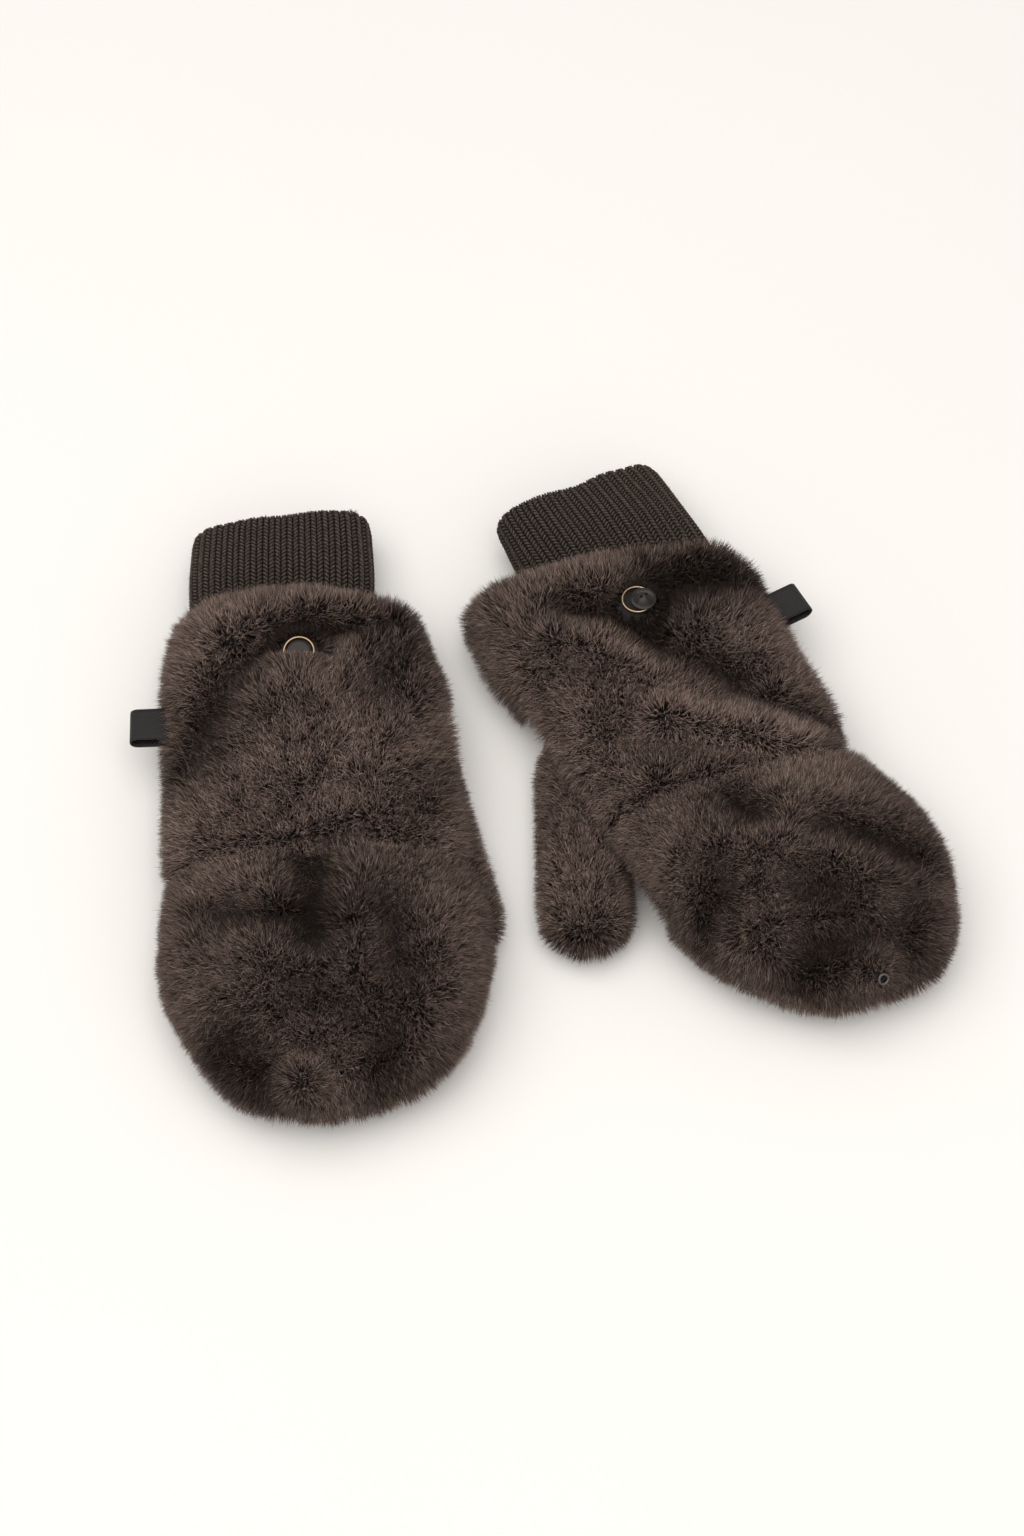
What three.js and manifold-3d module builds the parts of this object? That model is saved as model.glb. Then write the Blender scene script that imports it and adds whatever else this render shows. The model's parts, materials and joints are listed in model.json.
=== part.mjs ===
// A pair of convertible flip-top mittens in faux fur.
//
// Each mitten is a fingerless hand tube with a thumb and a knitted cuff, and a cap that covers
// the fingers. The cap is sewn to the back of the hand along a hinge line, so it folds back over
// the hand, where a press snap at its tip meets one near the wrist.
//
// Units are millimetres. +Z is up, and the pair lies palms down with the fingers towards -Y.
// Each mitten is drawn in its own hand frame: x to the thumb side, y from the hinge line towards
// the wrist, z up from the ground. A left mitten is the mirror image of a right one.

import * as THREE from 'three';
import { LoftGeometry } from 'three/addons/geometries/LoftGeometry.js';
import { mergeVertices } from 'three/addons/utils/BufferGeometryUtils.js';
import Module from 'manifold-3d';

const wasm = await Module();
wasm.setup();

// ---------------------------------------------------------------- driving dimensions

// How each mitten of the pair lies. halfWidth is taken at the hinge line; taper is its change per
// millimetre towards the wrist, lean and capSkew are the sideways drift of the hand and the cap.
const HANDS = [
  {
    name: 'right', side: 1, place: [-69.5, -60], turn: 2.5, halfWidth: 59, taper: -0.06,
    lean: -0.085, capSkew: 0.01, thumbSwing: 0, cuffCentre: -13.5,
  },
  {
    name: 'left', side: -1, place: [84, -30], turn: 29, halfWidth: 53, taper: 0.05,
    lean: -0.05, capSkew: 0.17, thumbSwing: 15.5, cuffCentre: -17,
  },
];

const GAP = 0.3; // between pieces that touch
const SECTION_POINTS = 20;

const HINGE_HEIGHT = 46.5;
const BODY_TOP = 44;
const WRIST_END = 116;
const WRIST_CORNER = 14;
const SEAM_HEIGHT = 21; // where the back and palm panels meet
const PANEL = 8; // a fur panel: backing and pile
const GROUND_FLAT = 3; // how far a section is pressed flat on the ground

const FINGER_END = -12; // the hand tube ends this far inside the cap
const BINDING = 3;
const UNDER_CAP_FLOOR = 11; // the hand tube's height range and margin inside the cap
const UNDER_CAP_TOP = 35.2;
const UNDER_CAP_SIDE = 12.5;
const UNDER_CAP_REACH = 10.5;

const CAP_TOP = 48;
const CAP_CENTRE = -25; // from here to the tip the cap's outline is half an ellipse
const CAP_LENGTH = 68;
const CAP_PANEL = 7.5;
const CAP_TIP_ANGLE = 84;
const MOUTH_TOP = 4; // the cap's rear edge, on top and at the ground
const MOUTH_FOOT = 6.5;

const LINING = 1.8;

const CUFF = { start: 106, end: 160, halfWidth: 34, low: 5, high: 27, knit: 3.5 };

const THUMB = { root: [32, 64], length: 77, rootRadius: 14, tipRadius: 15.5, height: 18, wall: 5 };
const THUMB_TUCKED = 12; // degrees between the tucked thumb and the fingers
const THUMB_TRAVEL = 28; // degrees of room that it has to swing outwards from there
const THUMB_MOUTH = 8;
const THUMB_MOUTH_TOP = 31;

const SNAP_REACH = 87; // from the hinge line to either half of the snap
const SNAP_OFFSET = -6;
const SNAP_DIMPLE = { depth: 5, radius: 19 };
const SOCKET = { height: 29.5, slope: 48 }; // square to the sloping fur near the cap's tip

const RIBBON = { along: 68, width: 13, reach: 11, gap: 5.2, thickness: 0.9 };

// ---------------------------------------------------------------- solids

// A closed three.js geometry as a solid that can be cut and joined.
function toSolid(geometry) {
  const shape = new THREE.BufferGeometry().copy(geometry);
  shape.deleteAttribute('normal');
  shape.deleteAttribute('uv');
  const merged = mergeVertices(shape, 1e-4);
  return new wasm.Manifold(new wasm.Mesh({
    numProp: 3,
    vertProperties: new Float32Array(merged.attributes.position.array),
    triVerts: new Uint32Array(merged.index.array),
  }));
}

// A solid as a three.js geometry; side -1 mirrors it from thumb side to finger side.
function toGeometry(solid, side) {
  const mesh = solid.getMesh();
  const positions = new Float32Array(mesh.vertProperties);
  const triangles = Array.from(mesh.triVerts);
  if (side < 0) {
    for (let i = 0; i < positions.length; i += 3) positions[i] = -positions[i];
    triangles.reverse();
  }
  const geometry = new THREE.BufferGeometry();
  geometry.setAttribute('position', new THREE.BufferAttribute(positions, 3));
  geometry.setIndex(triangles);
  geometry.computeVertexNormals();
  return geometry;
}

function box(low, high) {
  const size = high.map((value, i) => value - low[i]);
  const geometry = new THREE.BoxGeometry(...size);
  geometry.translate(...low.map((value, i) => value + size[i] / 2));
  return toSolid(geometry);
}

const FAR = 400;
const above = (z) => box([-FAR, -FAR, z], [FAR, FAR, FAR]);
const below = (z) => box([-FAR, -FAR, -FAR], [FAR, FAR, z]);
const between = (yLow, yHigh) => box([-FAR, yLow, -FAR], [FAR, yHigh, FAR]);

// A solid turned from a profile of [radius, height] points about +Z.
function turned(profile, segments = 16) {
  const points = profile.map(([radius, height]) => new THREE.Vector2(radius, height));
  const geometry = new THREE.LatheGeometry(points, segments);
  geometry.rotateX(Math.PI / 2);
  return toSolid(geometry);
}

const disc = (radius, low, high, segments) =>
  turned([[0, low], [radius, low], [radius, high], [0, high]], segments);

// One oval cross-section of a soft tube, pressed flat where it would pass under the ground.
function section({ y, left, right, low, high }) {
  const points = [];
  for (let i = 0; i < SECTION_POINTS; i += 1) {
    const angle = (2 * Math.PI * i) / SECTION_POINTS;
    const x = (left + right) / 2 - ((right - left) / 2) * fuller(Math.cos(angle));
    const z = (low + high) / 2 + ((high - low) / 2) * fuller(Math.sin(angle));
    points.push(new THREE.Vector3(x, y, Math.max(z, 0)));
  }
  return points;
}

// Pushes a sine outwards, so that an oval has fuller shoulders than an ellipse.
function fuller(value) {
  return Math.sign(value) * Math.abs(value) ** 0.8;
}

const loft = (stations) =>
  toSolid(new LoftGeometry(stations.map(section), { capStart: true, capEnd: true }));

// A station drawn in by a wall thickness all round.
function inset(station, wall) {
  return {
    y: station.y,
    left: station.left + wall,
    right: station.right - wall,
    low: Math.max(station.low, 0) + wall,
    high: station.high - wall,
  };
}

const blend = (from, to, share) => from + (to - from) * Math.min(Math.max(share, 0), 1);

// ---------------------------------------------------------------- the hand tube

// How far a round corner at the wrist draws the outline in.
function wristCorner(y) {
  const into = Math.max(0, y - (WRIST_END - WRIST_CORNER));
  return WRIST_CORNER - Math.sqrt(Math.max(0, WRIST_CORNER ** 2 - into ** 2));
}

function bodyStation(hand, y) {
  const corner = wristCorner(y);
  const half = hand.halfWidth + hand.taper * y - corner;
  const centre = hand.lean * y;
  return {
    y,
    left: centre - half,
    right: centre + half,
    low: -GROUND_FLAT + 0.3 * corner,
    high: BODY_TOP - 0.6 * corner,
  };
}

function bodyOutside(hand) {
  const straight = [FINGER_END - BINDING, UNDER_CAP_REACH, 45, 75];
  const corner = [0, 30, 60, 90].map((angle) =>
    WRIST_END - WRIST_CORNER + WRIST_CORNER * Math.sin(THREE.MathUtils.degToRad(angle)));
  return loft([...straight, ...corner].map((y) => bodyStation(hand, y)));
}

function cuffStation(hand, y, grow) {
  return {
    y,
    left: hand.cuffCentre - CUFF.halfWidth - grow,
    right: hand.cuffCentre + CUFF.halfWidth + grow,
    low: CUFF.low - grow,
    high: CUFF.high + grow,
  };
}

// The room for the hand, drawn in by a wall: low and narrow under the cap, and narrow again
// where it meets the cuff. On the thumb side it leaves room for the thumb below.
function handRoom(hand, wall) {
  const narrowEnd = 8; // the room is narrow up to here, and full from wideStart on
  const wideStart = 24;
  const thumbRoot = 50;
  const besideThumb = 28;
  const aboveThumb = 17.5;
  const tubeSide = 5; // the tube's own thickness under the cap
  const tubeTop = 4.2;
  const stations = [FINGER_END - BINDING - 1, narrowEnd, wideStart, 44, 56, 74, 92].map((y) => {
    const open = (y - narrowEnd) / (wideStart - narrowEnd);
    const outside = bodyStation(hand, y);
    const fingerEdge = -(hand.halfWidth - UNDER_CAP_SIDE - tubeSide);
    const thumbEdge = y > thumbRoot ? outside.right - PANEL : besideThumb;
    return {
      y,
      left: blend(fingerEdge, outside.left + PANEL, open) + wall,
      right: thumbEdge - wall,
      low: blend(aboveThumb, PANEL + 1, open) + wall,
      high: blend(UNDER_CAP_TOP - tubeTop, BODY_TOP - PANEL, open) - wall,
    };
  });
  const wrist = [CUFF.start - 1, WRIST_END + 1].map((y) => cuffStation(hand, y, 0.4 - wall));
  return loft([...stations, ...wrist]);
}

function underCapOval(hand, y) {
  const half = hand.halfWidth - UNDER_CAP_SIDE;
  return { y, left: -half, right: half, low: UNDER_CAP_FLOOR, high: UNDER_CAP_TOP };
}

// The oval that fits inside the cap, swung right round the hinge line. What stays inside this
// barrel never meets the cap, however far the cap turns.
function underCapBarrel(hand) {
  const oval = section(underCapOval(hand, 0));
  const profile = oval.map(({ x, z }) => new THREE.Vector2(HINGE_HEIGHT - z, x)).reverse();
  const geometry = new THREE.LatheGeometry([...profile, profile[0]], 24);
  geometry.rotateZ(Math.PI / 2);
  geometry.translate(0, 0, HINGE_HEIGHT);
  return toSolid(geometry);
}

function handTube(hand) {
  const inCap = loft([FINGER_END - BINDING - 1, 0].map((y) => underCapOval(hand, y)));
  return bodyOutside(hand)
    .intersect(underCapBarrel(hand).add(between(UNDER_CAP_REACH, FAR)))
    .intersect(inCap.add(between(0, FAR)))
    .subtract(handRoom(hand, 0))
    .subtract(thumbMouth(THUMB_MOUTH));
}

// ---------------------------------------------------------------- the thumb

// A pad with a round root and a round tip, drawn in by a wall, at an angle to the fingers.
function thumbPad(wall, round, angle) {
  const { root, length, rootRadius, tipRadius, height } = THUMB;
  const outline = new THREE.Shape();
  outline.absarc(0, 0, rootRadius - wall, 0, Math.PI);
  outline.absarc(0, -length, tipRadius - wall, Math.PI, 2 * Math.PI);
  const geometry = new THREE.ExtrudeGeometry(outline, {
    depth: height - 2 * wall - 2 * round,
    bevelThickness: round,
    bevelSize: round,
    bevelOffset: -round,
    bevelSegments: 2,
    curveSegments: 4,
    bevelEnabled: round > 0,
  });
  geometry.translate(0, 0, wall + round);
  geometry.rotateZ(THREE.MathUtils.degToRad(angle));
  geometry.translate(...root, 0);
  return toSolid(geometry);
}

// All that the thumb passes through as it swings, with a clearance round it.
function thumbSweep() {
  const clearance = 1;
  const reach = THUMB.length + THUMB.tipRadius + clearance;
  const start = THREE.MathUtils.degToRad(THUMB_TUCKED - 90);
  const end = THREE.MathUtils.degToRad(THUMB_TUCKED + THUMB_TRAVEL - 90);
  const fan = new THREE.Shape();
  fan.moveTo(0, 0);
  fan.absarc(0, 0, reach, start, end);
  const geometry = new THREE.ExtrudeGeometry(fan, {
    depth: THUMB.height + 2 * clearance,
    bevelEnabled: false,
    curveSegments: 4,
  });
  geometry.translate(...THUMB.root, -clearance);
  return toSolid(geometry)
    .add(thumbPad(-clearance, 0, THUMB_TUCKED))
    .add(thumbPad(-clearance, 0, THUMB_TUCKED + THUMB_TRAVEL));
}

// The upright way from the thumb up into the hand room.
function thumbMouth(radius) {
  return disc(radius, THUMB.height / 2, THUMB_MOUTH_TOP).translate([...THUMB.root, 0]);
}

function thumbShell(hand) {
  const angle = THUMB_TUCKED + hand.thumbSwing;
  return thumbPad(0, 6, angle)
    .subtract(thumbPad(THUMB.wall, 2, angle))
    .subtract(thumbMouth(THUMB_MOUTH));
}

function thumbLining(hand) {
  const angle = THUMB_TUCKED + hand.thumbSwing;
  const wall = THUMB.wall + GAP;
  return thumbPad(wall, 2, angle)
    .subtract(thumbPad(wall + 1.2, 1, angle))
    .subtract(thumbMouth(THUMB_MOUTH - 1.5));
}

// ---------------------------------------------------------------- the cap

// The cap's outline from its mouth, at +y, round to its tip, drawn in by a wall.
function capStations(hand, wall) {
  const thinnest = 3;
  const mouth = [UNDER_CAP_REACH + 2, 0].map((y) => ({ y, part: 1, high: CAP_TOP - 1.2 }));
  const round = [0, 20, 38, 54, 68, 78, CAP_TIP_ANGLE].map((angle) => {
    const radians = THREE.MathUtils.degToRad(angle);
    const y = CAP_CENTRE - (CAP_LENGTH - wall) * Math.sin(radians);
    const middle = 14 + 8 * Math.cos(radians);
    const half = 26 * Math.cos(radians) ** 0.75;
    return { y, part: Math.cos(radians), low: middle - half, high: middle + half };
  });
  return [...mouth, ...round].reverse().map(({ y, part, low = -GROUND_FLAT - 1, high }) => {
    const centre = hand.capSkew * Math.min(y, 0);
    const half = hand.halfWidth * part;
    return inset({ y, left: centre - half, right: centre + half, low, high }, wall);
  }).filter(({ left, right, low, high }) => right - left > thinnest && high - low > thinnest);
}

const capSolid = (hand, wall) => loft(capStations(hand, wall));

// The slab behind the cap's slanted mouth, moved towards the wrist by a distance.
function behindMouth(shift) {
  const lean = Math.atan2(MOUTH_FOOT - MOUTH_TOP, HINGE_HEIGHT);
  const geometry = new THREE.BoxGeometry(2 * FAR, FAR, 2 * FAR);
  geometry.translate(0, FAR / 2, 0);
  geometry.rotateX(lean);
  geometry.translate(0, MOUTH_TOP + shift, HINGE_HEIGHT);
  return toSolid(geometry);
}

// What the thumb takes from the cap as the cap swings up past it: the thumb's sweep, turned
// about the hinge line in a few steps until the cap has risen clear of it.
function thumbPastCap() {
  const sweep = thumbSweep();
  const fromHinge = sweep.translate([0, 0, -HINGE_HEIGHT]);
  let all = sweep;
  for (const flip of [8, 16, 24]) {
    all = all.add(fromHinge.rotate([flip, 0, 0]).translate([0, 0, HINGE_HEIGHT]));
  }
  return all;
}

function capTube(hand) {
  return capSolid(hand, 0).subtract(capSolid(hand, CAP_PANEL)).subtract(thumbPastCap());
}

function capLining(hand) {
  const wall = CAP_PANEL + GAP;
  return capSolid(hand, wall)
    .subtract(capSolid(hand, wall + LINING))
    .subtract(behindMouth(-1))
    .subtract(thumbPastCap());
}

// The bound edge of the cap's mouth, across the palm as far as the thumb.
function capMouthBinding(hand) {
  const palmOnly = box([-FAR, -FAR, -FAR], [26, FAR, SEAM_HEIGHT + 9]);
  return capTube(hand)
    .subtract(behindMouth(GAP + BINDING))
    .intersect(behindMouth(GAP))
    .intersect(palmOnly);
}

// ---------------------------------------------------------------- snaps, seam tape and ribbon

const placeSnap = (solid) => solid.translate([SNAP_OFFSET, SNAP_REACH, BODY_TOP - SNAP_DIMPLE.depth]);

const placeSocket = (solid) =>
  solid.rotate([SOCKET.slope, 0, 0]).translate([SNAP_OFFSET, -SNAP_REACH, SOCKET.height]);

function snapCutter() {
  const { depth, radius } = SNAP_DIMPLE;
  const dimple = turned([[0, 0], [0.45 * radius, 0.25 * depth], [radius, depth + 1], [0, depth + 1]]);
  const bore = disc(1.8, -6, 1, 10);
  const plateRoom = disc(6.6, -6, -1.1, 12);
  return placeSnap(dimple.add(bore).add(plateRoom));
}

function snapRing() {
  return placeSnap(turned([[4.5, 2], [6, 2], [6, 3], [5.3, 3.5], [4.5, 3], [4.5, 2]]));
}

function snapButton() {
  const dome = turned([[0, -1.3], [1.3, -1.3], [1.3, 1.8], [4.1, 1.8], [4.1, 2.6], [2.6, 3.4], [0, 3.8]]);
  const hole = disc(0.5, 2.4, 5, 6);
  return placeSnap(dome.subtract(hole.translate([1.2, 0, 0])).subtract(hole.translate([-1.2, 0, 0])));
}

const snapBackplate = () => placeSnap(disc(6, -2.9, -1.7, 12));

function socketCutter() {
  const seat = disc(3.7, -1.6, 6, 12);
  const bore = disc(1.2, -9, 0, 8);
  const washerRoom = disc(4.9, -16, -4.2, 12);
  return placeSocket(seat.add(bore).add(washerRoom));
}

function capSocket() {
  const ring = turned([[1.4, -1.3], [3.3, -1.3], [3.3, 0.2], [2.4, 0.8], [1.4, 0.2], [1.4, -1.3]]);
  return placeSocket(ring);
}

function capSocketWasher() {
  const washer = turned([[1.6, -5.6], [4.5, -5.6], [4.5, -4.5], [1.6, -4.5], [1.6, -5.6]], 12);
  return placeSocket(washer);
}

// The tape that holds the cap's back edge down along the hinge line.
function hingeTape() {
  const half = 14;
  return box([-half, FINGER_END + 1, UNDER_CAP_TOP + GAP], [half, -1, UNDER_CAP_TOP + 1]);
}

// A folded ribbon that stands out of the side seam, seen end on and drawn out along the seam.
function ribbonLoop(hand) {
  const { along, width, reach, gap, thickness } = RIBBON;
  const inner = gap / 2;
  const outer = inner + thickness;
  const fold = reach - outer;
  const profile = new THREE.Shape();
  profile.moveTo(0, -outer);
  profile.lineTo(-fold, -outer);
  profile.absarc(-fold, 0, outer, 1.5 * Math.PI, 0.5 * Math.PI, true);
  profile.lineTo(0, outer);
  profile.lineTo(0, inner);
  profile.lineTo(-fold, inner);
  profile.absarc(-fold, 0, inner, 0.5 * Math.PI, 1.5 * Math.PI, false);
  profile.lineTo(0, -inner);
  const geometry = new THREE.ExtrudeGeometry(profile, {
    depth: width,
    bevelEnabled: false,
    curveSegments: 6,
  });
  geometry.rotateX(Math.PI / 2);
  const seam = bodyStation(hand, along).left - 1.2;
  geometry.translate(seam, along + width / 2, SEAM_HEIGHT);
  return toSolid(geometry);
}

function knitCuff(hand) {
  const edge = 2;
  const outside = [CUFF.start, CUFF.end - edge].map((y) => cuffStation(hand, y, 0));
  const hem = cuffStation(hand, CUFF.end, -1);
  const inside = [CUFF.start - 1, CUFF.end + 1].map((y) => cuffStation(hand, y, -CUFF.knit));
  return loft([...outside, hem]).subtract(loft(inside));
}

function handLining(hand) {
  const wall = GAP + 0.1;
  return handRoom(hand, wall)
    .subtract(handRoom(hand, wall + LINING))
    .intersect(between(FINGER_END + GAP, CUFF.start - 2 * GAP))
    .subtract(thumbSweep())
    .subtract(thumbMouth(THUMB_MOUTH));
}

// ---------------------------------------------------------------- materials

const FINISHES = {
  fur: { color: 0x2c2420, roughness: 0.95, metalness: 0 },
  knit: { color: 0x262420, roughness: 0.9, metalness: 0 },
  lining: { color: 0x1d1a19, roughness: 0.95, metalness: 0 },
  binding: { color: 0x1a1817, roughness: 0.8, metalness: 0 },
  ribbon: { color: 0x141313, roughness: 0.6, metalness: 0 },
  brass: { color: 0xb29467, roughness: 0.3, metalness: 1 },
  button: { color: 0x1b1817, roughness: 0.25, metalness: 0 },
  steel: { color: 0x5a5754, roughness: 0.4, metalness: 1 },
};

// ---------------------------------------------------------------- one mitten

function mittenPieces(hand) {
  const tube = handTube(hand);
  const panels = tube.intersect(between(FINGER_END + GAP, FAR));
  const cap = capTube(hand).subtract(behindMouth(0));
  const sweep = thumbSweep();
  const socket = socketCutter();
  return {
    back_shell: ['fur', panels.intersect(above(SEAM_HEIGHT + GAP / 2)).subtract(snapCutter())],
    palm_shell: ['fur', panels.intersect(below(SEAM_HEIGHT - GAP / 2)).subtract(sweep)],
    finger_opening_binding: ['binding', tube.subtract(between(FINGER_END, FAR)).subtract(sweep)],
    hand_lining: ['lining', handLining(hand)],
    knit_cuff: ['knit', knitCuff(hand)],
    thumb_shell: ['fur', thumbShell(hand)],
    thumb_lining: ['lining', thumbLining(hand)],
    cap_hinge_tape: ['binding', hingeTape()],
    cap_back_shell: ['fur', cap.intersect(above(SEAM_HEIGHT + GAP / 2)).subtract(socket)],
    cap_palm_shell: ['fur', cap.intersect(below(SEAM_HEIGHT - GAP / 2)).subtract(socket)],
    cap_lining: ['lining', capLining(hand)],
    cap_mouth_binding: ['binding', capMouthBinding(hand)],
    cap_socket: ['steel', capSocket()],
    cap_socket_washer: ['steel', capSocketWasher()],
    snap_ring: ['brass', snapRing()],
    snap_button: ['button', snapButton()],
    snap_backplate: ['steel', snapBackplate()],
    ribbon_loop: ['ribbon', ribbonLoop(hand)],
  };
}

function mitten(hand) {
  const group = new THREE.Group();
  for (const [piece, [finish, solid]] of Object.entries(mittenPieces(hand))) {
    const material = new THREE.MeshStandardMaterial(FINISHES[finish]);
    const mesh = new THREE.Mesh(toGeometry(solid, hand.side), material);
    mesh.name = `${hand.name}_${piece}`;
    group.add(mesh);
  }
  group.position.set(...hand.place, 0);
  group.rotation.z = THREE.MathUtils.degToRad(hand.turn);
  return group;
}

// ---------------------------------------------------------------- the pair

// The pair's origin is the middle of its footprint, on the ground.
const pair = new THREE.Group();
for (const hand of HANDS) pair.add(mitten(hand));
pair.updateMatrixWorld(true);
const middle = new THREE.Box3().setFromObject(pair, true).getCenter(new THREE.Vector3());
const group = new THREE.Group();
group.add(pair);
pair.position.set(-middle.x, -middle.y, 0);

export default group;
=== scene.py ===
"""The looks of a pair of faux-fur convertible mittens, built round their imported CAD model.

Each mitten is drawn in its own hand frame, in millimetres, as the CAD model is: x to the thumb side,
y from the hinge line towards the wrist, z up from the ground. Mitten.to_world takes points from there
to the row frame in metres. A left mitten is the mirror image of a right one.
"""
import json
import math

import bpy
import numpy as np
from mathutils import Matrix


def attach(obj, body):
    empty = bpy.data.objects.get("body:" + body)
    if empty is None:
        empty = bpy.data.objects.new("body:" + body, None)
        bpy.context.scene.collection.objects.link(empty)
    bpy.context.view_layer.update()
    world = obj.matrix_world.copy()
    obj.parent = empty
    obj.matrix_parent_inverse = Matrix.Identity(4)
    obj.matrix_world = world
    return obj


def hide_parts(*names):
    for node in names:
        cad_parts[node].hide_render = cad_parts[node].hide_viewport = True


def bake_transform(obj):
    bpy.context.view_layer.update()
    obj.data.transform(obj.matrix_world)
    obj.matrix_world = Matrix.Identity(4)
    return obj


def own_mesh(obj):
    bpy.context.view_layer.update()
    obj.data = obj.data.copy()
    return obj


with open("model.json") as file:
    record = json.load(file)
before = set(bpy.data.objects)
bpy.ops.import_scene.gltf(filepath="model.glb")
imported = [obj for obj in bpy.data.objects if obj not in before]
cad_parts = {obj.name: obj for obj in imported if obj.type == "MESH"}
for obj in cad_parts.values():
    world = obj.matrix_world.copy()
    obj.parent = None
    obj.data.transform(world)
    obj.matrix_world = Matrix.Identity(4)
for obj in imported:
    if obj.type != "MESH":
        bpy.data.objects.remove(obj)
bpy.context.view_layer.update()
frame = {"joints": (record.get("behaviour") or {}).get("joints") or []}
joints = {joint["name"]: joint for joint in frame["joints"]}

# ---------------------------------------------------------------- sizes, in millimetres

PILE = 8.5  # how high the pile stands over the skin
PRESSED_PILE = 5.0  # the same where the mitten lies on the ground
HAIR = 9.8  # length of a hair
SKIN = 1.4  # thickness of the fur's woven backing
GROUND = 0.35  # no hair tip goes lower

HINGE_HEIGHT = 46.5
SEAM_HEIGHT = 21.0
HAND_TOP = 44.0
WRIST_END = 116.0
WRIST_CORNER = 14.0
FINGER_END = -12.0
UNDER_CAP = {"side": 12.5, "low": 11.0, "high": 35.2}

CAP_CENTRE = -25.0
CAP_LENGTH = 68.0
CAP_MOUTH = 4.0
CAP_ROUND = 0.88  # below 1 the tip is rounder than an ellipse

CUFF = {"start": 106.0, "end": 160.0, "half_width": 34.0, "low": 5.0, "high": 27.0}

THUMB = {"root": (32.0, 64.0), "length": 77.0, "root_radius": 14.0, "tip_radius": 15.5, "height": 18.0}
THUMB_TUCKED = 12.0  # degrees from the fingers' direction
THUMB_TRAVEL = 28.0
THUMB_PILE = 3.5

SNAP = (-6.0, 87.0)
SNAP_HEIGHT = 39.0
SOCKET = (-6.0, -87.0, 29.5)
SOCKET_SLOPE = 48.0

RIBBON = {"along": 68.0, "width": 13.0, "reach": 9.5, "hidden": 7.0, "gap": 5.2, "thickness": 0.9}


class Mitten:
    """One mitten of the pair: where it lies, and how its shape differs from the other one's."""

    def __init__(self, name, side, **shape):
        hinge = joints[f"{name}_cap_flip"]
        across = -np.array(hinge["axis"], float)
        self.name = name
        self.side = side
        self.hinge = np.array([*hinge["pos_m"][:2], 0.0])
        self.axes = np.array([side * across, np.cross([0, 0, 1], across), [0, 0, 1]])
        self.__dict__.update(shape)

    def to_world(self, points):
        return self.hinge + 0.001 * np.asarray(points, float) @ self.axes


# dents are (line of x, y points, depth, radius): they press the upper side down, or raise it where
# the depth is negative
MITTENS = [
    Mitten(
        "right", 1, half_width=59.0, taper=-0.06, lean=-0.085, waist=0.0, bulge=5.0,
        cap_skew=0.01, cap_bulge=4.0, wrist_slant=0.05, seam_slant=0.02, seam_arc=6.0, thumb_swing=0.0,
        cuff_centre=-13.5, cuff_slant=0.1, cuff_more=1.5, cuff_dip=1.0,
        snap_cover=4.5, snap_lap=2.0, snap_slope=13.0, button_dome=0.1, button_shift=(0, 0, 0),
        socket_clearing=0.0, hair_at_socket=5.2, loose_yarn=1, seed=11,
        hand_dents=[
            ([(-43, 45), (-38, 66), (-30, 80)], 5.5, 11),
            ([(-28, 84), (-8, 97), (8, 99)], 10.0, 8),
            ([(8, 99), (26, 104)], 7.5, 7),
            ([(27, 92), (25, 72)], 4.5, 11),
            ([(-45, 100), (-5, 111), (32, 112)], -1.5, 7),
            ([(1, 9), (14, 12)], 5.0, 4.5),
            ([(40, 40), (30, 12)], 2.0, 9),
        ],
        cap_dents=[
            ([(-2, -6), (-1, -30)], 10.0, 10),
            ([(-3, -26), (-34, -20)], 6.5, 8),
            ([(-32, -66), (-20, -75)], 4.5, 10),
            ([(18, -74), (24, -64)], 4.5, 9),
            ([(28, -46), (22, -20)], 4.0, 10),
            ([(0, -54), (12, -57)], 2.5, 12),
        ],
    ),
    Mitten(
        "left", -1, half_width=53.0, taper=0.05, lean=-0.05, waist=4.0, bulge=-1.0,
        cap_skew=0.17, cap_bulge=0.0, wrist_slant=0.3, seam_slant=0.2, seam_arc=2.0, thumb_swing=15.5,
        cuff_centre=-17.0, cuff_slant=0.08, cuff_more=-2.0, cuff_dip=3.0,
        snap_cover=0.0, snap_lap=0.0, snap_slope=0.0, button_dome=2.0, button_shift=(-2.0, -1.2, 1.5),
        socket_clearing=2.9, hair_at_socket=3.2, loose_yarn=0, seed=29,
        hand_dents=[
            ([(16, 98), (2, 86), (-5, 66)], 9.5, 8.5),
            ([(-6, 84), (-24, 90), (-40, 86)], 11.0, 13),
            ([(-14, 54), (-24, 40)], 6.0, 9),
            ([(25, 91), (14, 74), (5, 57)], -2.5, 6),
            ([(10, 38), (-12, 19), (-36, 0)], -3.5, 5.5),
            ([(8, 27), (-8, 13)], 3.0, 7),
            ([(-18, 36), (-40, 14)], 5.0, 7),
            ([(26, 40), (14, 20)], 2.5, 8),
        ],
        cap_dents=[
            ([(6, -6), (2, -14)], 8.5, 7),
            ([(-16, -28), (-26, -36), (-38, -52)], 6.5, 8),
            ([(24, -30), (30, -36)], 5.0, 9),
            ([(12, -66), (-6, -70)], 6.0, 9),
            ([(-30, -68), (-22, -76)], 4.0, 9),
            ([(4, -44), (-6, -52)], 4.5, 9),
        ],
    ),
]

# ---------------------------------------------------------------- small mathematics


def ramp(value, start, end):
    """0 at start, 1 at end, smooth between them."""
    t = np.clip((np.asarray(value, float) - start) / (end - start), 0, 1)
    return t * t * (3 - 2 * t)


def mix(a, b, share):
    return a + (b - a) * share


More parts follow.
